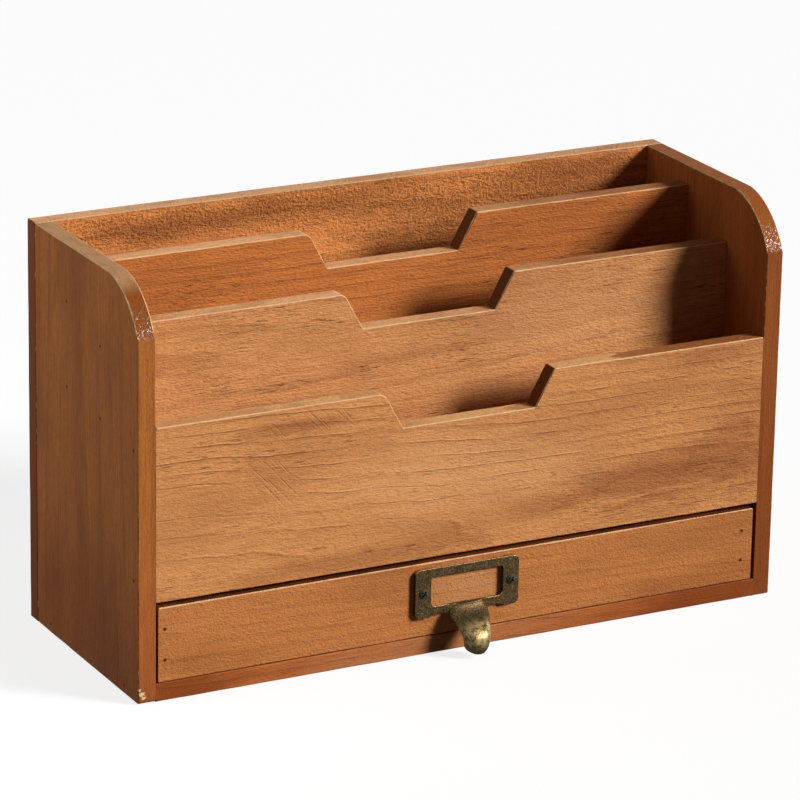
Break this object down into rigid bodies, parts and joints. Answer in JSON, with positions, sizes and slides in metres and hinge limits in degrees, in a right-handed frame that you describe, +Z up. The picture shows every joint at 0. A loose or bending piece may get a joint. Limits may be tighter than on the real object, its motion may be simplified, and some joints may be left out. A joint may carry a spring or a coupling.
{
  "type": "desktop letter rack",
  "caption": "Stained wooden desktop letter rack with stepped pockets, finger notches and a shallow drawer that slides out by a label frame pull.",
  "frame": {"origin": "middle of the carcass underside, on the surface that the rack stands on", "axes": "+X to the right seen from the drawer front, +Y to the back, +Z up"},
  "size_m": [0.34, 0.1422, 0.2],
  "materials": {
    "stained_wood": "brown stain under a semi-gloss varnish, worn pale along the arrises",
    "plywood": "thin plywood, lightly stained",
    "antique_brass": "dark antique patina, rubbed bright on the tongue",
    "dark_steel": "blackened"
  },
  "bodies": {
    "carcass": {"left_side_panel": "stained_wood", "right_side_panel": "stained_wood", "back_panel": "stained_wood", "bottom_board": "stained_wood", "pocket_floor": "stained_wood", "front_panel": "stained_wood", "middle_divider": "stained_wood", "rear_divider": "stained_wood", "left_side_brads": "dark_steel", "right_side_brads": "dark_steel", "back_panel_brads": "dark_steel"},
    "drawer": {"drawer_front": "stained_wood", "drawer_left_side": "stained_wood", "drawer_right_side": "stained_wood", "drawer_back": "stained_wood", "drawer_bottom": "plywood", "drawer_front_brads": "dark_steel", "drawer_back_brads": "dark_steel", "drawer_bottom_tacks": "dark_steel", "label_frame_pull": "antique_brass", "pull_screws": "dark_steel"}
  },
  "joints": [
    {"name": "drawer_slide", "type": "slide", "parent": "carcass", "child": "drawer", "axis": [0, -1, 0], "range_m": [0, 0.09]}
  ]
}
